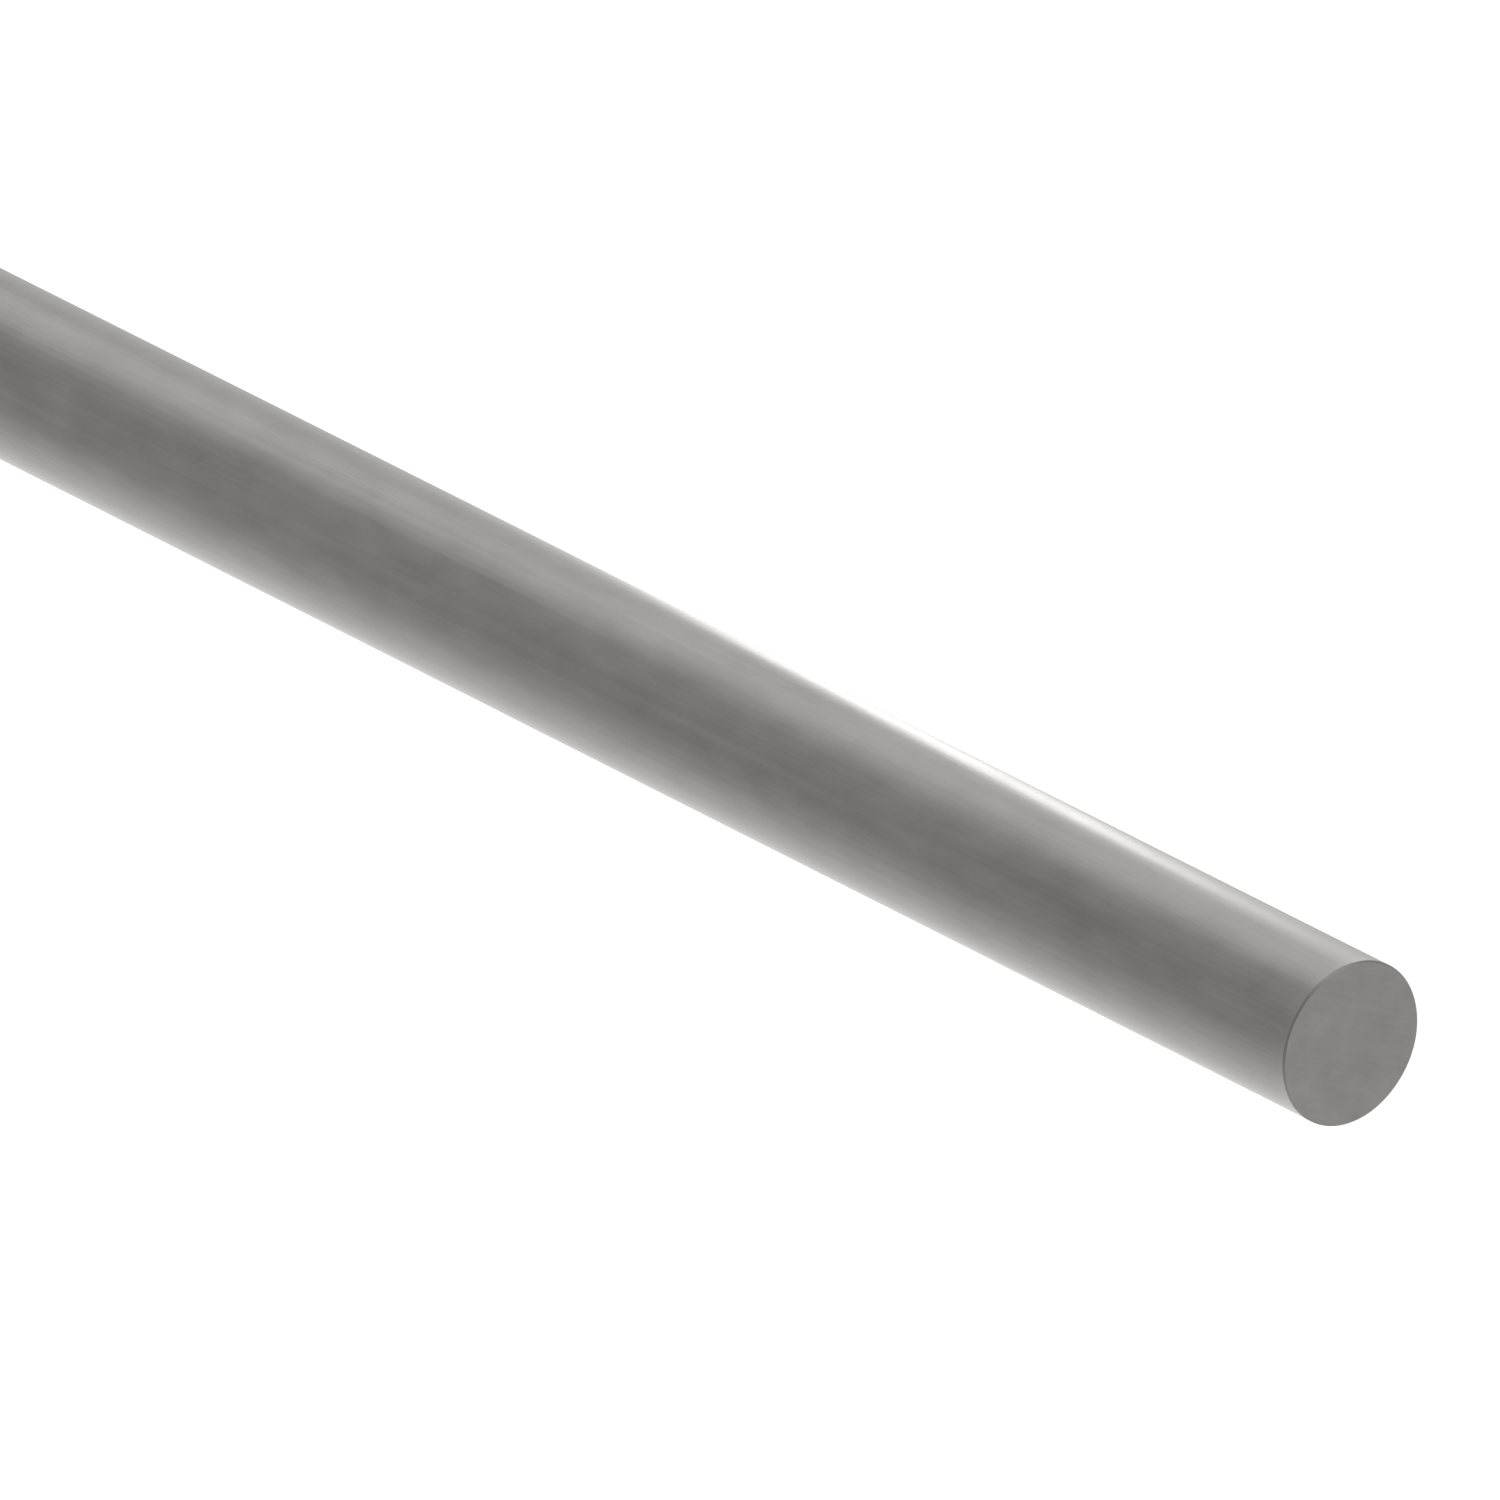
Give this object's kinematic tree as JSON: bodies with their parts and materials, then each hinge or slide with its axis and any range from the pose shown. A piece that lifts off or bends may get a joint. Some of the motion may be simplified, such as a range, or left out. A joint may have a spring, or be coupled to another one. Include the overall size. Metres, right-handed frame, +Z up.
{
  "type": "round metal bar",
  "caption": "Straight solid round steel bar with a smooth satin surface, square sawn ends and lightly broken end corners, for cutting, machining, welding or clamping.",
  "frame": {"origin": "on the floor, halfway along the bar and straight below its axis", "axes": "+X along the bar towards the end that is nearer in the picture, +Y across the bar away from the viewer, +Z up"},
  "size_m": [0.6096, 0.0254, 0.0254],
  "materials": {
    "bare_steel": "satin"
  },
  "bodies": {
    "root": {"round_bar": "bare_steel"}
  },
  "joints": []
}
